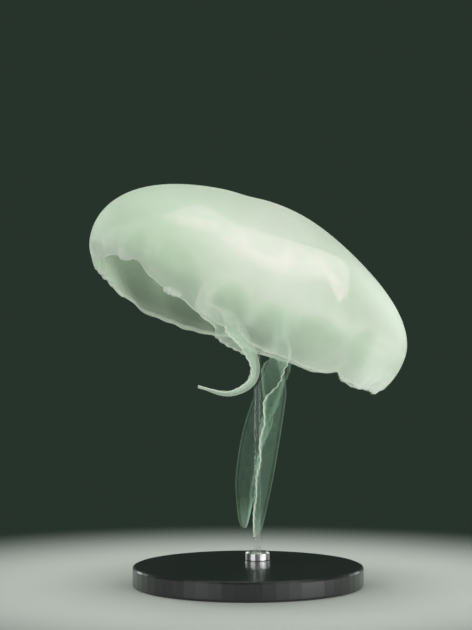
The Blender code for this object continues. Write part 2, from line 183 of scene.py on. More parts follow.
class Finish:
    """A material under construction, with its Principled shader."""

    def __init__(self, name, **settings):
        self.material = bpy.data.materials.new(name)
        self.material.use_nodes = True
        tree = self.material.node_tree
        self.nodes, self.links = tree.nodes, tree.links
        self.shader = self.nodes["Principled BSDF"]
        self.set(**settings)

    def set(self, **settings):
        """Sockets of the shader by name, with _ for a space: a number, a colour, or something worked out."""
        for name, value in settings.items():
            self.plug(self.shader.inputs[name.replace("_", " ")], value)

    def plug(self, socket, value):
        if isinstance(value, Value):
            self.links.new(value.socket, socket)
        elif socket.type == "RGBA":
            socket.default_value = (*value, 1.0)
        else:
            socket.default_value = value

    def node(self, kind, settings=None, values=None, output=0):
        """Any node: its settings are set first, then its sockets, and its output comes back as a Value."""
        made = self.nodes.new(kind)
        for name, value in (settings or {}).items():
            setattr(made, name, value)
        for name, value in (values or {}).items():
            self.plug(made.inputs[name], value)
        return Value(self, made.outputs[output])

    def mark(self, name, part):
        """The x, y or z of an attribute that travels with the mesh."""
        vector = self.node("ShaderNodeAttribute", {"attribute_name": name}, output="Vector")
        return self.node("ShaderNodeSeparateXYZ", values={0: vector}, output="xyz".index(part))

    def place(self, stretch):
        """The point's own coordinates in the object, stretched."""
        where = self.node("ShaderNodeTexCoord", output="Object")
        return self.node("ShaderNodeMapping", values={"Vector": where, "Scale": stretch})

    def noise(self, scale, detail, stretch=(1.0, 1.0, 1.0), vector=None):
        where = vector or self.place(stretch)
        return self.node("ShaderNodeTexNoise", values={"Vector": where, "Scale": scale, "Detail": detail})

    def mix(self, share, first, second):
        """From the first colour to the second by share."""
        values = {"Factor": share, 6: first, 7: second}
        return self.node("ShaderNodeMix", {"data_type": "RGBA"}, values, output=2)

    def bump(self, height, distance, strength):
        values = {"Height": height, "Distance": distance, "Strength": strength}
        return self.node("ShaderNodeBump", values=values)


# %% [markdown]
# ## The living shape of the bell
# A jellyfish's bell is drawn here as a tailor would draw it: flat first. A point of the flat pattern has an
# angle round the axis and a share of the way from the apex (0) to the margin (1). One function wraps the
# pattern over the real shape, so that a canal or a gonad drawn on the pattern lies on the bell by itself.
# The crown is nearly an ellipse, the flank is rounder on the trailing side, and the skirt below the waist
# closes in, because the animal is half way through a stroke.

# %% Sizes of the bell, in metres and radians
BELL_RADIUS, APEX_LEVEL, WAIST_LEVEL, WAIST_LEAN = 0.1020, 0.0573, 0.0010, 0.0050
MARGIN_LEVEL, MARGIN_LEAN, EVEN_SHARE = -0.0300, 0.0033, 0.45
FULLNESS, FULLNESS_LEAN, SHOULDER, SHOULDER_LEAN = -0.050, 0.165, 0.038, 0.028
CURL_IN, CURL_LEAN, CURL_REACH, CURL_POWER = 0.0108, 0.0018, 0.026, 2.3
WAIST_SHARE, LOBE_ROOT_SHARE = 0.78, 0.842
APEX_THICKNESS, MARGIN_THICKNESS, ROOF_RISE = 0.0200, 0.0012, 0.0080
THINNING, THINNING_POWER, ROOF_AT, ROOF_WIDTH = 2.2, 1.2, 0.23, 0.13
FLANK_JELLY, FLANK_JELLY_LEAN, FLANK_AT, FLANK_WIDTH = 0.0100, 0.0070, 0.55, 0.20
DRAWN_UP, DRAWN_UP_AT, DRAWN_UP_HALF_WIDTH = 0.022, math.radians(208), math.radians(75)
SQUEEZE = math.radians(6)
GATHER, GATHER_AT, GATHER_HALF_WIDTH = math.radians(12), math.radians(135), math.radians(25)
GATHERED_LIFT, LIFT_FROM, LIFT_FULL, LIFT_KEPT, LIFT_END = 0.0065, -1, 9, 15, 55
ROLLED_IN, ROLLED_IN_AT, ROLLED_HALF_WIDTH = 0.0055, math.radians(194), math.radians(14)
NOTCH_DEPTH, NOTCH_HALF_WIDTH = 0.0045, math.radians(4.0)
FRILL, FRILL_WAVES, SCALLOPS, SCALLOP_WAVES = 0.0009, (13, 22, 37, 53), 0.0006, (9, 19, 31, 47)
DENT_AT, DENT_HALF_WIDTH, DENT_DEPTH = -0.021, 0.009, 0.0009
LOBE_ANGLE = math.pi / 4
BELL_CENTRE = np.array([0.0, 0.0, 0.176])
BELL_TILT = math.radians(20)


def waves(angle, numbers, seed):
    """A sum of cosines round the bell, one for each wave number, with random phases and falling heights."""
    phases = np.random.default_rng(seed).uniform(0, 2 * np.pi, len(numbers))
    numbered = enumerate(zip(numbers, phases))
    return sum(np.cos(number * angle + phase) / (1 + i * 0.35) for i, (number, phase) in numbered) / 2


def margin_height(angle):
    """Height of the edge: lower on the far side, raised by half a cosine wave where the muscle draws it up,
    and by a smooth step up and down, counted in degrees, where it is gathered into a fold."""
    off = angle_from(DRAWN_UP_AT, angle)
    lift = DRAWN_UP * 0.5 * (1 + np.cos(np.pi * np.clip(off / DRAWN_UP_HALF_WIDTH, -1, 1)))
    past = np.degrees(angle_from(GATHER_AT, angle))
    rise, fall = (past - LIFT_FROM) / (LIFT_FULL - LIFT_FROM), (past - LIFT_KEPT) / (LIFT_END - LIFT_KEPT)
    lift = lift + GATHERED_LIFT * smooth_step(rise) * (1 - smooth_step(fall))
    lean = MARGIN_LEAN * np.sin(angle) * (1 - EVEN_SHARE * smooth_step(np.cos(angle) / 0.5))
    return MARGIN_LEVEL - lean + lift


def past_lobe_root(share):
    """0 down to the roots of the lobes, then rising evenly to 1 at the edge."""
    return np.maximum((share - LOBE_ROOT_SHARE) / (1 - LOBE_ROOT_SHARE), 0)


# %% Outline of the bell
def profile(angle, share):
    """(radius, height) of the outer surface.

    Down to the waist it is an ellipse whose flank swells with sin squared and whose shoulder is eased by sin
    squared times cos to the fourth. Below the waist the radius closes in by a power of the drop, and further
    by a bell curve of the angle where the edge rolls in. The drop is cut back at the notches."""
    side = np.cos(angle)
    waist = WAIST_LEVEL - WAIST_LEAN * side
    swing = 0.5 * np.pi * np.minimum(share / WAIST_SHARE, 1.0)
    swell = 1 + (FULLNESS - FULLNESS_LEAN * side) * np.sin(swing) ** 2
    swell = swell - 4 * (SHOULDER + SHOULDER_LEAN * side) * np.sin(swing) ** 2 * np.cos(swing) ** 4
    down = np.maximum(share - WAIST_SHARE, 0) / (1 - WAIST_SHARE)
    from_notch = angle_from(0, angle, LOBE_ANGLE)
    cut = NOTCH_DEPTH * np.exp(-np.abs(from_notch / NOTCH_HALF_WIDTH) ** 1.6)
    drop = (waist - margin_height(angle)) * down - cut * past_lobe_root(share) ** 2
    curl = (CURL_IN - CURL_LEAN * side) * (np.maximum(drop, 0) / CURL_REACH) ** CURL_POWER
    off = angle_from(ROLLED_IN_AT, angle)
    curl = curl + ROLLED_IN * np.exp(-((off / ROLLED_HALF_WIDTH) ** 2)) * past_lobe_root(share) ** 2
    radius = BELL_RADIUS * np.sin(swing) - curl
    height = waist + (APEX_LEVEL - waist) * np.cos(swing) * swell - drop
    return radius, height


def wall_thickness(angle, share):
    """Thick clear jelly at the apex and a film at the margin. Two bell curves of the share change that: there
    is more on the flank, and less over the leading side of the hollow."""
    left = (1 - np.minimum(share, 1) ** THINNING) ** THINNING_POWER
    even = MARGIN_THICKNESS + (APEX_THICKNESS - MARGIN_THICKNESS) * left
    flank = np.exp(-(((share - FLANK_AT) / FLANK_WIDTH) ** 2))
    roof = np.exp(-(((share - ROOF_AT) / ROOF_WIDTH) ** 2)) * np.maximum(np.cos(angle), 0) ** 1.5
    return even + (FLANK_JELLY + FLANK_JELLY_LEAN * np.cos(angle)) * flank - ROOF_RISE * roof


def frill(angle, share):
    """How far the edge of the bell waves in and out: small waves that grow with the square of the way from
    the lobe's root to the edge."""
    return FRILL * waves(angle, FRILL_WAVES, 4) * past_lobe_root(share) ** 2


# %% From the flat pattern into the room
def tilted(x, y, height):
    """A point of the upright bell, turned over by BELL_TILT and set at the bell's centre."""
    lean, stand = math.sin(BELL_TILT), math.cos(BELL_TILT)
    return np.stack([x * stand + height * lean, y, height * stand - x * lean], -1) + BELL_CENTRE


def bell_point(angle, share, depth):
    """A point of the wall in the room: depth is 1 on the outside, 0 on the inside and below 0 under it.

    It is the outer profile moved inwards along its normal by the wall's thickness, turned round the axis and
    tilted. The edge is scalloped by small waves, the angles are drawn together by a cosine on the near side
    and by a bell curve at the fold, and the crown has a shallow dent across it."""
    step = 0.004
    radius, height = profile(angle, share)
    inner_radius, inner_height = profile(angle, np.maximum(share - step, 0))
    outer_radius, outer_height = profile(angle, share + step)
    along = unit(np.stack([outer_radius - inner_radius, outer_height - inner_height], -1))
    inset = (1 - depth) * wall_thickness(angle, share) - frill(angle, share)
    radius, height = radius + along[..., 1] * inset, height - along[..., 0] * inset
    height = height + SCALLOPS * waves(angle, SCALLOP_WAVES, 7) * smooth_step((share - 0.9) / 0.1)
    turned = angle - SQUEEZE * np.cos(angle)
    turned = turned + GATHER * np.exp(-((angle_from(GATHER_AT, angle) / GATHER_HALF_WIDTH) ** 2))
    x, y = radius * np.cos(turned), radius * np.sin(turned)
    dent = np.exp(-(((x - DENT_AT) / DENT_HALF_WIDTH) ** 2)) * (1 - smooth_step(share / 0.5))
    return tilted(x, y, height - DENT_DEPTH * dent)


def point_under(angle, share, below):
    """A point that lies a distance below the inside of the wall."""
    return bell_point(angle, share, -below / wall_thickness(angle, share))


print("the bell is", 2 * BELL_RADIUS, "m across and its wall", APEX_THICKNESS, "m thick at the apex")

# %% [markdown]
# ## The jelly of the bell
# Real jelly is nearly water: only its depth makes it milky. A true volume would be slow and noisy, and an
# exported model would lose it. Two skins with a little milk in each, the outer and the inner side of the
# wall, look the same from every side. Their opacity is worked out from the wall's thickness, as in a fog: one
# minus e to the power of minus thickness over a fading length. The dark shows through the thin margin.

# %% Opacity of the jelly
FADING_LENGTH, OUTER_LAYER, INNER_LAYER = 0.020, 0.36, 0.09
TRAILING_LAYER, LEADING_LAYER = 0.12, 0.22
MUSCLE_OPACITY, MUSCLE_FROM, MUSCLE_TO = 0.62, 0.40, 0.86
# Cloudier and clearer patches: angle and half its width in degrees, share and half its height, gain.
# The cloudier patch at 214 degrees is painted light: it whitens the lower trailing flank, which faces
# downwards and lies in shade.
PATCHES = [(45, 24, 0.56, 0.14, -0.20), (315, 24, 0.56, 0.14, -0.25), (214, 15, 0.84, 0.11, 0.28)]
PATCHES += [(300, 11, 0.82, 0.07, -0.22), (274, 8, 0.965, 0.04, -0.34)]
# Stretches of the edge: angle and half its width in degrees, gain.
# The stretch at 200 degrees is painted light: it whitens the edge of the lower trailing flank, which lies in
# shade.
DRAWN_TOGETHER_AND_PAINTED_LIGHT = [(158, 24, 0.46), (354, 26, 0.40), (112, 26, -0.12), (238, 42, 0.09), (200, 20, 0.26)]


def outer_opacity(angle, share):
    """One minus what passes the cell layer and half the wall: an exponential of its thickness. The layer is
    denser on the trailing flank and on the leading skirt, by smooth steps, and each patch adds a bell curve
    of the angle and the share."""
    layer = OUTER_LAYER + TRAILING_LAYER * np.maximum(-np.cos(angle), 0) * smooth_step((share - 0.2) / 0.3)
    layer = layer + LEADING_LAYER * smooth_step(np.cos(angle) / 0.8) * smooth_step((share - 0.62) / 0.16)
    for at, half_width, middle, half_height, strength in PATCHES:
        off = angle_from(math.radians(at), angle) / math.radians(half_width)
        layer = layer + strength * np.exp(-(off**2) - ((share - middle) / half_height) ** 2)
    return 1 - (1 - layer) * np.exp(-0.5 * wall_thickness(angle, share) / FADING_LENGTH)


def inner_opacity(angle, share):
    """A thin cell layer, and over it the ring of swimming muscle, which swells and fades by smooth steps. It
    is weaker on the leading side, and a little weaker on the trailing one."""
    muscle = smooth_step((share - MUSCLE_FROM + 0.1) / 0.2)
    muscle = muscle * (1 - smooth_step((share - MUSCLE_TO + 0.1) / 0.2))
    even = 1 - 0.8 * smooth_step(np.cos(angle) / 0.8) - 0.3 * np.maximum(-np.cos(angle), 0) ** 2
    return INNER_LAYER + (MUSCLE_OPACITY - INNER_LAYER) * muscle * even


def edge_opacity(angle, share):
    """Opacity that the edge gains where the muscle has drawn it together, and at 200 degrees as painted light
    where the flank lies in shade, by smooth steps.
    """
    gained = 0 * angle
    for middle, half_width, strength in DRAWN_TOGETHER_AND_PAINTED_LIGHT:
        off = np.abs(angle_from(math.radians(middle), angle)) / math.radians(half_width)
        gained = gained + strength * (1 - smooth_step((off - 0.7) / 0.6))
    return gained * smooth_step((share - 0.84) / 0.12)


shares = np.array([0.0, 0.6, 0.97])
for opacity in (outer_opacity, inner_opacity):
    print(opacity.__name__, "at shares", shares, "is", opacity(math.pi, shares).round(2))

# %% [markdown]
# ## The finish of the bell
# Near the margin, nineteen clear windows lie between milkier rays: the jelly is greener and thinner there. On
# the leading side a clear band joins them. The body of the bell is cream, and its very edge is a fine white
# line, where the tentacles grow. All of it is drawn from the angle and the share, so it follows the lobes.
# The jelly's faint glow is painted light, and so is part of how the creamy body changes round the angle.

# %% Jelly material
CLEAR_GREEN, MILKY_WHITE = (0.72, 0.93, 0.69), (0.96, 0.955, 0.89)
WINDOWS, WINDOW_SHIFT, WINDOW_MIDDLE, WINDOW_REACH = 19, 0.69, 0.865, 0.145
PAIRING, PAIRING_AT, WANDER, WANDER_AT = 0.21, math.radians(263), 0.045, math.radians(279)


def window_mask(share, cosine, sine, clouds):
    """1 in a clear window and 0 between. A window is an ellipse in angle and share: the sum of two squares,
    cut softly at one. Windows stand closer in pairs and wander up and down by cosines of the angle, and they
    fade on the two ends of the long axis. The clear band fills what they leave, by smooth steps."""
    angle = sine.maths("ARCTAN2", cosine)
    turns = angle * (WINDOWS / math.tau) + (WINDOWS + WINDOW_SHIFT)
    turns = turns - ((angle - PAIRING_AT) * 6.0).maths("COSINE") * PAIRING
    middle = ((angle - WANDER_AT) * 4.0).maths("COSINE") * WANDER + WINDOW_MIDDLE
    across, along = turns.maths("FRACT") * 2.0 - 1.0, (share - middle) * (1 / WINDOW_REACH)
    window = (1.0 - (across * across + along * along).between(0.10, 1.00)) * (clouds * 1.3 + 0.2)
    window = window * (1.0 - cosine.between(0.74, 0.84)) * cosine.between(-0.88, -0.78)
    window = window * (cosine.between(0.3, 0.6) * 0.25 + 1.0)
    band = share.between(0.76, 0.88) * (1.0 - share.between(0.94, 0.99)) * cosine.between(-0.2, 0.3)
    return window + (1.0 - window) * band * (1.0 - cosine.between(0.65, 0.85)) * 0.4


def jelly_finish():
    """Colour and opacity from the place on the flat pattern; the wet gloss is the shader's own, and a faint
    emission of the colour is a painted glow.

    Whiteness and opacity are sums of the clouds, the rays, the creamy body, the edge line, the hem on the
    inside of the far edge, and the rolled scrap, and both are less in a window. Round the angle the creamy
    body
    is partly painted light: it is kept up on the lower trailing flank, which lies in shade, and cut on the
    leading shoulders, which the front lamps light, as painted shade."""
    jelly = Finish("wet jelly", IOR=1.36, Subsurface_Weight=0.8, Subsurface_Scale=0.015)
    jelly.set(Subsurface_Radius=(1.0, 1.2, 1.0), Sheen_Weight=0.15, Sheen_Roughness=0.4)
    # The emission is a painted glow: the jelly gives off a little light of its own colour.
    jelly.set(Emission_Strength=0.06, Specular_IOR_Level=0.25)
    cosine, sine, share = (jelly.mark("place", part) for part in "xyz")
    outside, rolled, milk = (jelly.mark("wall", part) for part in "xyz")
    clouds = jelly.noise(22.0, 2.0)
    around = {0: cosine * 5.0, 1: sine * 5.0, 2: share + outside * 5.0}
    around = jelly.node("ShaderNodeCombineXYZ", values=around)
    rays = jelly.noise(1.0, 3.0, vector=around)
    window = window_mask(share, cosine, sine, clouds)
    edge = share.between(0.985, 0.999) * cosine.between(-0.985, -0.95) * rays
    hem = share.between(0.955, 0.985) * sine.between(0.1, 0.5) * (1.0 - outside)
    body = share.between(0.28, 0.55) * (1.0 - share.between(0.72, 0.95) * 0.85)
    # Painted light and painted shade: the creamy body's change round the angle keeps the lower trailing
    # flank, which lies in shade, whiter, and the next line takes a third off the leading shoulders, which the
    # front lamps light.
    cream_and_painted_light = (body * 0.42 + (1.0 - share.between(0.3, 0.55)) * 0.25) * cosine.between(-1.1, 0.05)
    cream_and_painted_light = cream_and_painted_light * (1.0 - cosine.between(0.2, 0.7) * 0.35)
    whiteness = (clouds * 0.14 + rays * 0.12 + cream_and_painted_light) * (1.0 - window * 0.8)
    whiteness = whiteness + edge * 0.5 + hem * 0.08 + rolled * 0.5
    alpha = milk * (1.0 - window * 0.32) * (rays * 0.10 + 0.95)
    alpha = alpha + edge * 0.7 + hem * 0.12 + rolled * 0.4
    height = rays * share.between(0.1, 0.4) * 0.3 + jelly.noise(260.0, 2.0) * 0.12
    colour = jelly.mix(whiteness, CLEAR_GREEN, MILKY_WHITE)
    jelly.set(Base_Color=colour, Emission_Color=colour, Alpha=alpha.maths("MINIMUM", 0.96))
    jelly.set(Roughness=clouds * 0.14 + 0.38, Normal=jelly.bump(height, 0.0004, 0.4))
    return jelly.material


JELLY = jelly_finish()
print("material:", JELLY.name)

# %% [markdown]
# ## The bell in one skin
# The solids cut the bell into a dome and eight lobes. Here one skin goes from the apex down the outside,
# round the thin edge and up the inside, so no seam shows. One scrap of the edge has rolled up and is thick
# and white, so it is a tube of its own.

# %% Bell
TURNS, OUTER_ROWS, EDGE_ROWS, INNER_ROWS = 400, 96, 5, 80
PATTERN_LENGTH = 0.16


def bell_rings():
    """Rings from the apex down the outside at depth 1, round the edge by half a circle, and up the inside."""
    outer = np.linspace(0.004, 1.0, OUTER_ROWS) ** 0.9
    turn = np.linspace(0, np.pi, EDGE_ROWS + 2)[1:-1]
    inner = np.linspace(1.0, 0.004, INNER_ROWS) ** 0.9
    beyond = 0.5 * MARGIN_THICKNESS / PATTERN_LENGTH
    shares = np.concatenate([outer, 1 + beyond * np.sin(turn), inner])
    depths = np.concatenate([np.ones(OUTER_ROWS), 0.5 + 0.5 * np.cos(turn), np.zeros(INNER_ROWS)])
    share, angle = grid(shares, TURNS)
    depth = np.repeat(depths[:, None], TURNS, axis=1)
    milk = np.where(depth > 0.5, outer_opacity(angle, share), inner_opacity(angle, share))
    milk = milk + edge_opacity(angle, share)
    return bell_point(angle, share, depth), bell_marks(angle, share, depth, 0, milk)


def bell_marks(angle, share, depth, rolled, milk):
    """What the jelly's finish reads: the place on the pattern, which side, whether rolled up, and opacity."""
    place = np.stack([np.cos(angle), np.sin(angle), share + 0 * angle], -1)
    return {"place": place, "wall": np.stack([depth + 0 * angle, rolled + 0 * angle, milk + 0 * angle], -1)}


# %% Rolled scrap of the edge
SCRAP_FROM, SCRAP_TO, SCRAP_RADIUS = math.radians(239), math.radians(246.5), 0.0019
SCRAP_SHARE, SCRAP_UNEVEN, SCRAP_HOOK = 0.988, 0.12, 0.0016


def scrap_rings(rows=90, columns=24):
    """A tube along the edge: its radius is the root of a sine, so that the ends are round, and is uneven by a
    faster sine. Its first end hooks down with the cube of the way that is left."""
    along, turn = grid(np.linspace(0, 1, rows), columns)
    angle = SCRAP_FROM + (SCRAP_TO - SCRAP_FROM) * along
    edge = bell_point(angle, SCRAP_SHARE, 0.9)
    down = unit(bell_point(angle, SCRAP_SHARE, 0) - bell_point(angle, 0.95, 0))
    outward = unit(bell_point(angle, SCRAP_SHARE, 1.5) - edge)
    radius = SCRAP_RADIUS * np.sin(np.pi * np.clip(along**0.8, 0.004, 0.996)) ** 0.5
    radius = radius * (1 + SCRAP_UNEVEN * np.sin(along * 23))
    lower = radius * 1.1 * np.sin(turn) + SCRAP_HOOK * (1 - along) ** 3
    ring = outward * (radius * np.cos(turn))[..., None] + down * lower[..., None]
    return edge + ring, bell_marks(angle, 0.9, 1, 1, 0.5)


BELL_NODES = ["bell_dome"] + [f"bell_lobe_{i + 1}" for i in range(8)]
piece("bell", [skin(*bell_rings()), skin(*scrap_rings())], JELLY, BELL_NODES)

# %% [markdown]
# ## Milky tissue
# Stomach, gonads, mouth and canals are cloudier than the jelly round them: white to pale pink, soft, and a
# little uneven, with clumps of eggs or sperm as fine grain.

# %% Tissue material


def tissue_finish(name, colour, shade, alpha, glow=0.0):
    """Colour from clouds between a light and a darker tone, grain as bump, and an uneven opacity. The glow is
    painted: an emission of the same tones that stands for the light that the jelly round it passes on."""
    tissue = Finish(name, IOR=1.38, Subsurface_Weight=0.4, Subsurface_Scale=0.006, Sheen_Weight=0.2)
    tissue.set(Subsurface_Radius=(1.0, 1.0, 0.9), Emission_Strength=glow)
    clouds, grain = tissue.noise(120.0, 3.0), tissue.noise(900.0, 2.0)
    tones = tissue.mix(clouds.between(0.3, 0.7), shade, colour)
    tissue.set(Base_Color=tones, Emission_Color=tones, Roughness=clouds * 0.2 + 0.35)
    tissue.set(Alpha=(clouds * 0.5 + 0.75) * alpha, Normal=tissue.bump(grain, 0.0003, 0.6))
    return tissue.material


# The last number of each tissue is its painted glow, an emission.
GONAD = tissue_finish("gonad tissue", (1.00, 0.77, 0.83), (0.92, 0.71, 0.77), 0.72, 0.26)
STOMACH = tissue_finish("stomach wall", (1.00, 0.84, 0.88), (0.93, 0.82, 0.83), 0.41, 0.17)
CANAL = tissue_finish("canal wall", (0.93, 0.95, 0.86), (0.85, 0.92, 0.82), 0.08, 0.10)
print("materials:", GONAD.name, STOMACH.name, CANAL.name)

# %% [markdown]
# ## Gonads
# Each gonad is a ruffled band laid in a horseshoe under the roof of the bell. It is a tube whose path is an
# arc of the flat pattern. Its section is squeezed from side to side in waves, like a gathered ribbon.

# %% Gonads
GONAD_DISTANCE, GONAD_BEND, GONAD_ARC, GONAD_SIZE = 0.235, 0.098, math.radians(255), 0.0025
FLAT_TO_METRES, LUMP_LENGTH, RUFFLE_LENGTH, RUFFLE_SIZE = 0.158, 0.0011, 0.0042, 0.0013


def gonad_rings(number, rows=300, columns=20):
    """Rings round an arc: the section is an ellipse of radius GONAD_SIZE, lumpy and round at the ends. A sine
    pushes it sideways, most at the free lower edge."""
    along, turn = grid(np.linspace(0, 1, rows), columns)
    middle = number * np.pi / 2
    at = middle + GONAD_ARC * (along - 0.5)
    length = GONAD_ARC * GONAD_BEND * FLAT_TO_METRES
    end = np.minimum(along, 1 - along) * length / (2 * GONAD_SIZE)
    size = GONAD_SIZE * np.sqrt(1 - (1 - np.minimum(end, 1)) ** 2)
    size = size * (1 + 0.16 * np.sin(along * length / LUMP_LENGTH + 2 * np.sin(along * 31 + number)))
    low = 0.5 - 0.5 * np.sin(turn)
    wander = 1.4 * np.sin(along * 17 + 2.1 * number)
    ruffle = RUFFLE_SIZE * low * np.sin(along * length * 2 * np.pi / RUFFLE_LENGTH + wander)
    sideways = (size * 0.62 * np.cos(turn) + ruffle) / FLAT_TO_METRES
    x = GONAD_DISTANCE * np.cos(middle) + (GONAD_BEND + sideways) * np.cos(at)
    y = GONAD_DISTANCE * np.sin(middle) + (GONAD_BEND + sideways) * np.sin(at)
    below = GONAD_SIZE * 1.15 - size * 1.1 * np.sin(turn)
    return point_under(np.arctan2(y, x), np.hypot(x, y), below), {}


for number in range(4):
    name = f"gonad_ruffle_{number + 1}"
    piece(name, [skin(*gonad_rings(number))], GONAD, [f"gonad_{number + 1}"])

# %% [markdown]
# ## Stomach
# Over the mouth the stomach spreads into four pouches, one round each gonad. Seen from the side its roof is
# the bright band inside the bell. It is a thin closed bag just under the roof of the hollow.

# %% Stomach
STOMACH_REACH, STOMACH_SHORTER, STOMACH_HALF = 0.43, 0.18, 0.0010
POUCH_RISE, POUCH_DROP, FLOOR_FOLD = 0.0070, 0.0046, 0.0005


def stomach_rings(columns=240, rows=50):
    """Rings from the middle out along the roof and back along the floor of the bag.

    The bag reaches less far on the leading side. Its roof swells up into the jelly by a bell curve of the
    share, most at the two ends of the bell's long axis, and its floor hangs by another one, more on the four
    radii than between, with fine radial folds."""
    out = np.linspace(0.004, 1, rows)
    share, angle = grid(np.concatenate([out, out[::-1]]), columns)
    is_floor = np.arange(2 * rows)[:, None] >= rows
    lobes = 0.5 + 0.5 * np.cos(4 * angle)
    flat = share * STOMACH_REACH * (0.86 + 0.14 * lobes)
    flat = flat * (1 - STOMACH_SHORTER * np.maximum(np.cos(angle), 0))
    edge = np.sqrt(np.maximum(1 - share**6, 0))
    crest = 0.27 + 0.02 * np.cos(angle)
    ends = 0.1 + 0.9 * (0.5 + 0.5 * np.cos(2 * angle)) ** 1.5
    rise = (POUCH_RISE * ends * np.exp(-(((flat - crest) / 0.085) ** 2)) + STOMACH_HALF) * edge
    drop = POUCH_DROP * np.exp(-(((flat - GONAD_DISTANCE) / 0.12) ** 2)) * (0.35 + 0.65 * lobes)
    drop = (STOMACH_HALF + drop + FLOOR_FOLD * np.sin(angle * 36) * share) * edge
    return point_under(angle, flat, np.where(is_floor, drop, -rise)), {}


piece("stomach", [skin(*stomach_rings())], STOMACH)

# %% [markdown]
# ## Canals
# Sixteen canals carry food from the stomach to the edge. Every second one branches on the way. They are
# drawn as thin tubes on the inner side of the wall: each is an angle that drifts as the share grows.

# %% Canals
CANAL_RADIUS = 0.00032
BRANCHES = ((0.50, 7.6), (0.60, 5.2), (0.72, 2.7))  # where each pair leaves, and how many degrees it spreads


def canal_rings(start_angle, drift, start, stop=0.985, rows=40, columns=6):
    """Rings along one canal: the angle drifts from start_angle by drift, with a smooth step, and the tube
    thins outwards."""
    along, turn = grid(np.linspace(0, 1, rows), columns)
    share = start + (stop - start) * along
    angle = start_angle + drift * smooth_step(along * 1.3)
    radius = CANAL_RADIUS * (1 - 0.45 * along)
    angle = angle + radius * np.cos(turn) / (BELL_RADIUS * np.sin(np.minimum(share / WAIST_SHARE, 1) * 1.57))
    return point_under(angle, share, radius * (0.6 + np.sin(turn))), {}


def canal_network():
    """Sixteen main canals; every second one has branches that leave it in pairs."""
    for number in range(16):
        angle = number * np.pi / 8
        yield skin(*canal_rings(angle, 0.0, 0.40))
        if number % 2 == 0:
            for start, spread in BRANCHES:
                for side in (-1, 1):
                    yield skin(*canal_rings(angle, side * math.radians(spread), start + 0.02 * side))


piece("canals", list(canal_network()), CANAL)

# %% [markdown]
# ## Mouth
# The mouth is at the foot of a short square throat, the manubrium. Its four corners are drawn out into the
# oral arms. It is a turned skin with a profile that goes down the outside and up the inside of the lips.

# %% Manubrium
THROAT_TOP, THROAT_FOOT, THROAT_RADIUS, THROAT_CORNER = 0.0354, 0.0150, 0.0090, 0.22


def throat_rings(columns=96):
    """Rings along a profile of radius and height, each squared by a cosine of four times the angle."""
    share = np.linspace(0, 1, 26)
    outer = THROAT_RADIUS + 0.0015 * (1 - share) - 0.0012 * np.sin(np.pi * share)
    height = THROAT_TOP + share * (THROAT_FOOT - THROAT_TOP)
    inner = np.linspace(1, 0.05, 14)
    radius = np.concatenate([[outer[0] * 0.2, outer[0] * 0.7], outer, outer[-1] * inner * 0.9])
    level = np.concatenate([[THROAT_TOP] * 2, height, THROAT_FOOT + 0.0042 * np.sqrt(1 - inner**2)])
    radius, angle = grid(radius, columns)
    level = np.repeat(level[:, None], columns, axis=1)
    corner = 1 + THROAT_CORNER * 0.5 * (1 - np.cos(4 * angle))
    crimp = 1 + 0.035 * np.sin(angle * 24) * smooth_step((THROAT_TOP - level) / 0.016)
    x, y = radius * corner * crimp * np.cos(angle), radius * corner * crimp * np.sin(angle)
    return tilted(x, y, level), {}


THROAT = tissue_finish("throat wall", (0.90, 0.94, 0.86), (0.70, 0.84, 0.72), 0.6)
piece("throat", [skin(*throat_rings())], THROAT, ["manubrium"])

# %% [markdown]
# ## Oral arms
# An oral arm is a long ribbon folded along a keel, with two thin wings and crinkled lips that catch food.
# It could be a plane with cloth physics, but the pose is known, so the fold is worked out: a path through
# space, a direction in which the keel faces, and a V across it.

# %% Paths of the four arms, in millimetres from the bell's centre
CURLED = [(-3, -9, 13), (-14, -15, 9), (-24, -19, 2), (-24, -19, -8), (-12, -17, -14), (-3, -15, -27)]
CURLED += [(3, -13, -41), (2, -12, -51), (-5, -12, -57), (-15, -12, -59), (-30, -12, -55)]
HANGING = [(11, -9, 9), (15, -14, 0), (18, -18, -16), (18, -19, -37), (15, -18, -58), (12, -18, -82)]
HANGING += [(9, -17, -106), (6, -16, -128), (4, -16, -145)]
TRAILING = [(13, 9, 9), (18, 11, -3), (22, 10, -26), (20, 8, -44), (13, 6, -64), (5, 5, -88)]
TRAILING += [(0, 5, -112), (-1, 5, -128), (-2, 5, -142)]
DRAWN = [(-3, 9, 13), (-9, 16, 10), (-14, 24, 4), (-15, 33, -6), (-10, 41, -13), (-1, 45, -16)]
DRAWN += [(8, 44, -12), (12, 40, -5)]


def smooth_path(points, per_span=12):
    """A Catmull-Rom curve through the points."""
    padded = np.vstack([2 * points[0] - points[1], points, 2 * points[-1] - points[-2]])
    a, b, c, d = (padded[i : len(padded) - 3 + i, None] for i in range(4))
    t = np.linspace(0, 1, per_span, endpoint=False)[None, :, None]
    curve = 2 * b + (c - a) * t + (2 * a - 5 * b + 4 * c - d) * t**2 + (3 * b - a - 3 * c + d) * t**3
    return np.vstack([0.5 * curve.reshape(-1, 3), points[-1:]])


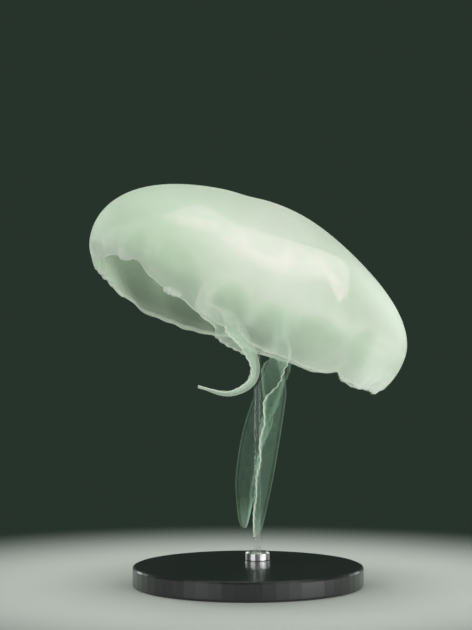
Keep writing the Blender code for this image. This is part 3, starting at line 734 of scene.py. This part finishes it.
class Arm:
    """One arm's path and its shape across: width of a wing, its share at the root, the keel's facing and
    twist, the opening of the V and how it slims towards the tip.

    More may follow by name: where the twist starts and ends, where the wing has its full width, how blunt the
    tip is, how far a veil spreads from the lips, and how white the lips and the flesh are."""

    def __init__(self, name, path, width, root, facing, twist, opening, taper, **more):
        self.name, self.width, self.root, self.taper = name, width, root, taper
        self.facing, self.twist, self.opening = map(math.radians, (facing, twist, opening))
        self.twists, self.growth = more.get("twists", (0.0, 0.55)), more.get("growth", 0.35)
        self.blunt, self.veil = more.get("blunt", 1), more.get("veil", 0.0)
        self.lips, self.milk = more["lips"], more["milk"]
        self.back_lip = more.get("back_lip", self.lips)
        self.points = smooth_path(np.array(path, float) / 1000)
        steps = np.linalg.norm(np.diff(self.points, axis=0), axis=1)
        self.travelled = np.concatenate([[0.0], np.cumsum(steps)])
        self.length = self.travelled[-1]

    def spine(self, share):
        gone = share * self.length
        return np.stack([np.interp(gone, self.travelled, self.points[:, i]) for i in range(3)], -1)

    def heading(self, share):
        return unit(self.spine(np.minimum(share + 0.02, 1)) - self.spine(np.maximum(share - 0.02, 0)))

    def turn(self, share):
        start, stop = self.twists
        return self.facing + self.twist * smooth_step((share - start) / (stop - start))

    def wing(self, share):
        root = self.root + (1 - self.root) * smooth_step(share / self.growth)
        return self.width * np.maximum(root * np.maximum(1 - share**self.blunt, 0) ** self.taper, 0.10)


VEILED = {"twists": (0.22, 0.46), "growth": 0.55, "veil": 0.0115, "lips": 1.0, "back_lip": 0.4, "milk": 0.29}
TURNED = {"twists": (0.22, 0.50), "growth": 0.5, "blunt": 2, "lips": 0.9, "back_lip": 0.25, "milk": 0.015}
ARMS = [
    Arm("curled", CURLED, 0.0150, 0.33, 100, 80, 80, 0.75, **VEILED),
    Arm("hanging", HANGING, 0.0180, 0.1, 40, 140, 60, 0.42, **TURNED),
    Arm("trailing", TRAILING, 0.0235, 0.2, 40, -40, 60, 0.42, growth=0.6, blunt=2, lips=0.08, milk=0.0),
    Arm("drawn_up", DRAWN, 0.0080, 0.6, 90, 0, 80, 0.60, lips=0.5, milk=0.15),
]
print("lengths of the arms:", {arm.name: round(float(arm.length), 4) for arm in ARMS})

# %% Arm material


def membrane_finish():
    """Thin green-clear wings, a cloudier keel, and white lips: opacity and colour from the place across.

    The upper part and the tip are cloudier as well. Fine folds run across the wing from keel to lip."""
    membrane = Finish("arm membrane", IOR=1.36, Sheen_Weight=0.15)
    # The emission is a painted glow: the arms give off a little light in their own colours.
    membrane.set(Emission_Strength=0.10, Specular_IOR_Level=0.25)
    across, along, share = (membrane.mark("blade", part) for part in "xyz")
    lips, milk = (membrane.mark("flesh", part) for part in "xy")
    outward = across.maths("ABSOLUTE")
    lip = outward.between(0.91, 0.985) * lips * share.between(0.18, 0.32)
    rim, keel = outward.between(0.80, 0.98), 1.0 - outward.between(0.02, 0.16)
    upper, tip = 1.0 - share.between(0.25, 0.45), share.between(0.86, 1.0)
    weave = membrane.node("ShaderNodeCombineXYZ", values={0: outward * 3.0, 1: along * 420.0})
    folds, grain = membrane.noise(1.0, 3.0, vector=weave), membrane.noise(700.0, 2.0)
    white = lip * 0.9 + keel * 0.3 + folds * 0.2 + upper * 0.3 + milk * 2.0 + tip * 0.25
    alpha = folds * 0.034 + milk + lip * 0.44 + keel * 0.08 + upper * lips * 0.26
    alpha = alpha + rim * (tip * 0.12 + 0.06) + tip * 0.05
    tones = membrane.mix(white, (0.44, 0.81, 0.55), (0.93, 0.98, 0.88))
    membrane.set(Base_Color=tones, Emission_Color=tones, Alpha=alpha)
    membrane.set(Roughness=folds * 0.2 + 0.35, Normal=membrane.bump(folds + grain * 0.3, 0.0002, 0.5))
    return membrane.material


MEMBRANE = membrane_finish()

# %% Arms
KEEL_THICKNESS, LIP_THICKNESS, KEEL_ROUNDING = 0.0022, 0.0007, 0.2
SWING, SWING_LENGTH, CRINKLE, CRINKLE_LENGTH, CALM_TIP = 0.10, 0.0036, 0.05, 0.00075, 0.12
VEIL_AT, VEIL_WIDTH, FRONT_VEIL = 0.45, 0.11, 0.35


def arm_rings(arm, rows, half=26):
    """Rings round the ribbon: over one face from lip to lip and back over the other.

    Across the path the arm is a V with a rounded keel, a hyperbola. The lips swing by a sine of the way
    along, times across squared, and crinkle by a finer one times across to the fourth, and both calm down at
    the tip. A veil draws the lips back from the keel by a bell curve of the way, times across squared."""
    across = np.concatenate([np.linspace(-1, 1, half), np.linspace(1, -1, half)])
    layer = np.concatenate([np.full(half, 0.5), np.full(half, -0.5)])
    share, across = np.meshgrid(np.linspace(0, 1, rows), across, indexing="ij")
    forward = arm.heading(share)
    away = unit(np.array([0.0, 1.0, 0.0]) - forward[..., 1:2] * forward)
    right = -np.cross(forward, away)
    turn = arm.turn(share)[..., None]
    keel = np.cos(turn) * right + np.sin(turn) * away
    side = np.cross(forward, keel)
    depth = np.hypot(across, KEEL_ROUNDING) - KEEL_ROUNDING
    slope = across / np.hypot(across, KEEL_ROUNDING)
    wing, half_open = arm.wing(share), arm.opening / 2
    lean_in, lean_out = math.cos(half_open), math.sin(half_open)
    along = share * arm.length
    swing = SWING * wing * across**2 * np.sin(along / SWING_LENGTH + 2.0 * across)
    wander = 2 * np.sin(along / 0.011 + across)
    crinkle = CRINKLE * np.minimum(wing, 0.009) * across**4 * np.sin(along / CRINKLE_LENGTH + wander)
    normal = unit(keel * lean_out + side * (lean_in * slope)[..., None])
    thickness = LIP_THICKNESS + (KEEL_THICKNESS - LIP_THICKNESS) * np.exp(-((across / 0.3) ** 2))
    thickness = thickness * (0.45 + 0.55 * np.minimum(1, wing / (0.35 * arm.width)))
    veil = arm.veil * np.exp(-(((share - VEIL_AT) / VEIL_WIDTH) ** 2)) * across**2
    veil = veil * np.where(across < 0, 1.0, FRONT_VEIL)
    middle = keel * (wing * lean_in * (0.5 - depth) - veil)[..., None]
    middle = middle + side * (wing * lean_out * across)[..., None]
    lift = (swing + crinkle) * np.minimum((1 - share) / CALM_TIP, 1) + layer * thickness
    points = BELL_CENTRE + arm.spine(share) + middle + normal * lift[..., None]
    flesh = np.stack([np.where(across > 0, arm.lips, arm.back_lip), 0 * share + arm.milk, 0 * share], -1)
    return points, {"blade": np.stack([across, along, share], -1), "flesh": flesh}


for arm in ARMS:
    rows = int(arm.length / 0.00038)
    nodes = [f"oral_arm_{arm.name}_{part}" for part in ("upper", "middle", "tip")]
    piece(f"oral_arm_{arm.name}", [skin(*arm_rings(arm, rows))], MEMBRANE, nodes)

# %% [markdown]
# ## The edge of the bell
# Hundreds of short tentacles hang in a fringe from the edge, as fine as hairs, and eight sense organs sit in
# the notches. A hair particle system would be simple, but its strands have no faces to export. Each tentacle
# here is a thin cone of two dozen faces, bent inwards, and all of them are one mesh.

# %% Fringe
TENTACLES, TENTACLE_RADIUS, SHORTEST, LONGEST = 960, 0.00013, 0.0005, 0.0014


def tentacle_rings(angle, length, bend, rows=5, columns=4):
    """Rings down one tentacle: it leaves the edge along the wall and bends towards the axis with the square
    of the way, while its radius falls to a fifth."""
    root = bell_point(angle, 1.0, 0.4)
    down = unit(root - bell_point(angle, 0.985, 0.4))
    inward = unit(BELL_CENTRE + np.array([0, 0, root[2] - BELL_CENTRE[2]]) - root)
    along, turn = grid(np.linspace(0, 1, rows), columns)
    front, sideways = unit(inward - down * inward.dot(down)), np.cross(down, inward)
    spine = root + length * (down * along[..., None] + inward * (bend * along**2)[..., None])
    radius = TENTACLE_RADIUS * (1 - 0.8 * along)[..., None]
    ring = front * np.cos(turn)[..., None] + sideways * np.sin(turn)[..., None]
    return spine + radius * ring, {}


def fringe():
    """Tentacles at even angles with some disorder, and none in a notch."""
    random = np.random.default_rng(11)
    angles = (np.arange(TENTACLES) + random.uniform(-0.3, 0.3, TENTACLES)) * 2 * np.pi / TENTACLES
    lengths = random.uniform(SHORTEST, LONGEST, TENTACLES)
    bends = random.uniform(0.2, 0.8, TENTACLES)
    kept = np.abs(angle_from(0, angles, LOBE_ANGLE)) > math.radians(1.6)
    return [skin(*tentacle_rings(*each)) for each in zip(angles[kept], lengths[kept], bends[kept])]


# The tentacles' painted glow lifts them where they would hang dark.
TENTACLE = tissue_finish("tentacle", (0.92, 0.96, 0.88), (0.80, 0.90, 0.78), 0.22, 0.15)
piece("margin_tentacles", fringe(), TENTACLE)

# %% Sense organs
ORGAN_RADIUS, ORGAN_LENGTH = 0.00095, 0.0030


def sense_organ_rings(number, rows=14, columns=14):
    """A club: a round head on a short stalk, as a turned profile along the edge of the notch."""
    angle = number * LOBE_ANGLE
    head = bell_point(angle, 0.985, 0.5)
    stalk = unit(head - bell_point(angle, 0.94, 0.5))
    outward = unit(bell_point(angle, 0.985, 1.5) - head)
    sideways = np.cross(stalk, outward)
    along, turn = grid(np.linspace(0, 1, rows), columns)
    radius = ORGAN_RADIUS * np.sin(np.pi * np.clip(along, 0.03, 0.97)) ** 0.6
    radius = radius * (0.45 + 0.55 * smooth_step(along * 1.6))
    spine = head + stalk * ((along - 0.62) * ORGAN_LENGTH)[..., None]
    ring = outward * np.cos(turn)[..., None] + sideways * np.sin(turn)[..., None]
    return spine + ring * radius[..., None], {}


ORGAN = tissue_finish("sense organ", (0.90, 0.90, 0.80), (0.70, 0.74, 0.62), 0.8)
organs = [skin(*sense_organ_rings(number)) for number in range(8)]
piece("sense_organs", organs, ORGAN, [f"rhopalium_{i + 1}" for i in range(8)])

# %% [markdown]
# ## The stand
# The stand's solids have the right shape already, so they only get finishes: a black base with a soft satin
# and a few fine scuffs, a clear rod, and a steel collar with the marks of the lathe.

# %% Stand materials


def lacquer_finish():
    """Near black, with clouds in the gloss and a few fine scratches as bump."""
    lacquer = Finish("black acrylic", Coat_Weight=0.4, Coat_Roughness=0.08)
    clouds, scuffs = lacquer.noise(35.0, 4.0), lacquer.noise(60.0, 2.0, stretch=(1.0, 14.0, 1.0))
    lacquer.set(Roughness=clouds * 0.16 + 0.24 + scuffs.between(0.66, 0.72) * 0.1)
    lacquer.set(Base_Color=lacquer.mix(clouds, (0.010, 0.011, 0.012), (0.020, 0.021, 0.022)))
    lacquer.set(Normal=lacquer.bump(scuffs + clouds * 0.2, 0.00005, 0.4))
    return lacquer.material


def acrylic_finish():
    """Clear and polished: thin enough to see through, with a faint unevenness in the gloss."""
    acrylic = Finish("clear acrylic", IOR=1.49, Coat_Weight=0.3, Transmission_Weight=0.9)
    clouds = acrylic.noise(90.0, 2.0)
    acrylic.set(Base_Color=acrylic.mix(clouds, (0.80, 0.86, 0.84), (0.90, 0.93, 0.92)))
    acrylic.set(Roughness=clouds * 0.06 + 0.03, Alpha=clouds * 0.06 + 0.15)
    return acrylic.material


def steel_finish():
    """Satin steel: metal whose roughness follows fine rings round the rod."""
    steel = Finish("satin steel", Metallic=1.0)
    rings = steel.noise(900.0, 2.0, stretch=(0.05, 0.05, 1.0))
    steel.set(Base_Color=steel.mix(rings, (0.52, 0.53, 0.54), (0.66, 0.67, 0.68)))
    steel.set(Roughness=rings * 0.2 + 0.25, Normal=steel.bump(rings, 0.00003, 0.5))
    return steel.material


STAND_FINISHES = {
    "stand_base": lacquer_finish(),
    "stand_rod": acrylic_finish(),
    "stand_collar": steel_finish(),
}
for name, finish in STAND_FINISHES.items():
    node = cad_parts[name]
    node.data.materials.clear()
    node.data.materials.append(finish)
print("stand:", *STAND_FINISHES)

# %% [markdown]
# ## Floor, light and camera
# The stand stands on a pale round floor whose rim fades away, so that the dark that makes jelly visible can
# start close behind it. Large soft lights stand above, in front and behind: jelly glows where light comes
# through it from the back.

# %% Floor
FLOOR_RADIUS, FLOOR_SOLID, FLOOR_RINGS, FLOOR_TURNS = 0.33, 0.12, 40, 96


def floor_finish():
    """Pale and matt, fading out between two radii."""
    pale = Finish("pale floor", Roughness=0.75)
    tone = pale.noise(9.0, 3.0)
    pale.set(Base_Color=pale.mix(tone, (0.62, 0.66, 0.62), (0.70, 0.73, 0.69)))
    place = pale.node("ShaderNodeTexCoord", output="Object")
    distance = pale.node("ShaderNodeVectorMath", {"operation": "LENGTH"}, {0: place}, output="Value")
    pale.set(Alpha=1.0 - distance.between(FLOOR_SOLID, FLOOR_RADIUS * 0.97))
    return pale.material


radius, angle = grid(np.linspace(0.002, FLOOR_RADIUS, FLOOR_RINGS), FLOOR_TURNS)
rings = np.stack([radius * np.cos(angle), radius * np.sin(angle), 0 * radius], -1)
floor_mesh = bpy.data.meshes.new("floor")
faces = ring_faces(FLOOR_RINGS, FLOOR_TURNS).tolist() + [list(range(FLOOR_TURNS))[::-1]]
floor_mesh.from_pydata(rings.reshape(-1, 3), [], faces)
floor_mesh.materials.append(floor_finish())
floor = placed("floor", floor_mesh)
print("floor radius", FLOOR_RADIUS)

# %% Surroundings and lights
world = bpy.data.worlds.new("dark water")
world.use_nodes = True
world.node_tree.nodes["Background"].inputs["Color"].default_value = (0.0205, 0.0340, 0.0240, 1.0)
bpy.context.scene.world = world
bpy.context.scene.view_settings.view_transform = "Standard"


LIGHTS_AIM, WHITE, PALE_GREEN = Vector((0.0, 0.0, 0.17)), (1.0, 1.0, 1.0), (0.92, 1.0, 0.94)
# Place and size in metres, power in watts, and colour.
LIGHTS = {
    "overhead": ((0.0, 0.0, 1.15), 0.9, 6.8, WHITE),
    "front_left": ((-1.0, -1.0, 0.34), 0.8, 7.6, WHITE),
    "front_right": ((0.9, -1.1, 0.40), 0.8, 6.8, WHITE),
    "right": ((1.0, -0.45, 0.06), 0.5, 5.9, WHITE),
    "back_left": ((-0.8, 0.9, 0.45), 0.6, 4, PALE_GREEN),
    "back_right": ((0.8, 0.9, 0.45), 0.6, 3, PALE_GREEN),
}
for name, (place, size, power, colour) in LIGHTS.items():
    data = bpy.data.lights.new(name, "AREA")
    data.size, data.energy, data.color = size, power, colour
    light = placed(name, data)
    light.location = place
    light.rotation_euler = (LIGHTS_AIM - Vector(place)).to_track_quat("-Z", "Y").to_euler()
    light.visible_camera = False
print("lights:", list(LIGHTS))

# %% Camera
lens = bpy.data.cameras.new("camera")
lens.sensor_width = 36
lens.lens = 103.7
camera = placed("camera", lens)
camera.location = (-0.0073, -1.1, 0.1636)
camera.rotation_euler = (math.radians(90), 0, 0)
bpy.context.scene.camera = camera
print("camera at", camera.location, "with a lens of", round(lens.lens, 1), "mm")
